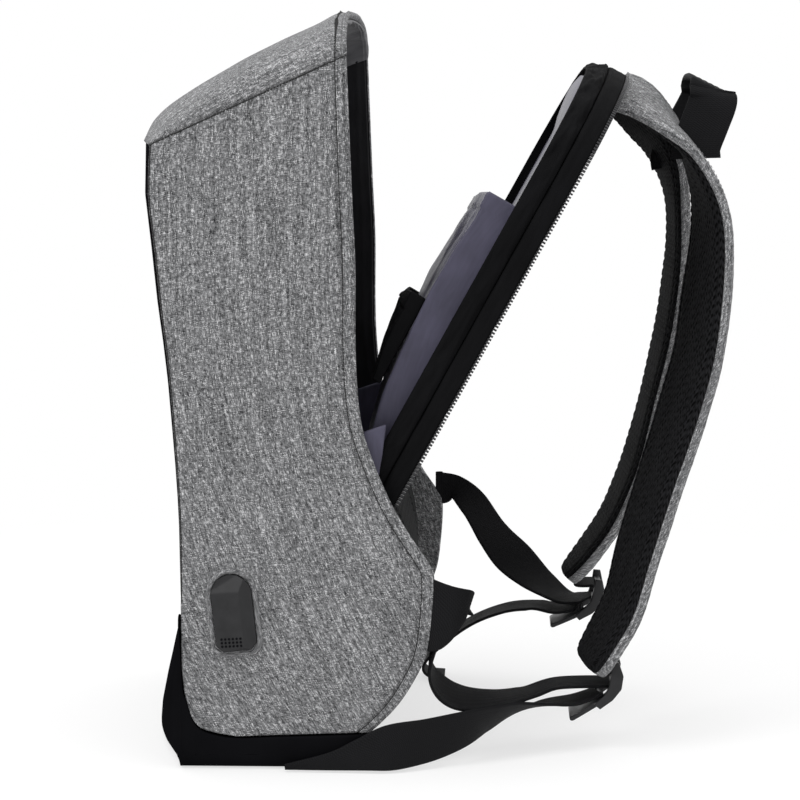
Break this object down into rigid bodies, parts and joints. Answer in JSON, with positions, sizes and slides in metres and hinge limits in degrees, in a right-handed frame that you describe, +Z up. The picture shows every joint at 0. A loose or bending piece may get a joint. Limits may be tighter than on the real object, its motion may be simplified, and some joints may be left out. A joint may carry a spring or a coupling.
{
  "type": "anti-theft backpack",
  "caption": "Upright canvas backpack with a coated base, its rear panel unzipped and leaning back, padded shoulder straps, a grab handle and webbing adjusters.",
  "frame": {"origin": "middle of the flat bottom of the base, where the bag stands", "axes": "+Z up, +Y towards the wearer's side where the straps are, +X to the wearer's right"},
  "size_m": [0.3005, 0.3678, 0.4553],
  "materials": {
    "melange_canvas": "matte",
    "strap_canvas": "matte",
    "coated_shell": "satin",
    "air_mesh": "matte",
    "zip_tape": "matte",
    "panel_board": "matte",
    "lavender_lining": "satin",
    "dark_lining": "matte",
    "webbing": "matte",
    "moulded_plastic": "satin"
  },
  "bodies": {
    "root": {"side_panel_right": "melange_canvas", "side_panel_left": "melange_canvas", "roof_panel": "melange_canvas", "port_border": "melange_canvas", "strap_cover_right": "strap_canvas", "strap_cover_left": "strap_canvas", "front_panel": "coated_shell", "base_boot": "coated_shell", "lower_back_panel": "air_mesh", "back_pad": "air_mesh", "strap_pad_right": "air_mesh", "strap_pad_left": "air_mesh", "zip_band": "zip_tape", "gusset_band": "zip_tape", "lower_pocket": "zip_tape", "panel_core": "panel_board", "panel_lining": "lavender_lining", "large_pocket": "lavender_lining", "stay_gusset_right": "lavender_lining", "stay_gusset_left": "lavender_lining", "side_lining_right": "dark_lining", "side_lining_left": "dark_lining", "roof_lining": "dark_lining", "front_lining": "dark_lining", "grab_handle": "webbing", "webbing_right": "webbing", "webbing_left": "webbing", "webbing_tail_right": "webbing", "webbing_tail_left": "webbing", "strap_loop_right": "webbing", "strap_loop_left": "webbing", "ladder_lock_right": "moulded_plastic", "ladder_lock_left": "moulded_plastic", "port_housing": "moulded_plastic"}
  },
  "joints": []
}
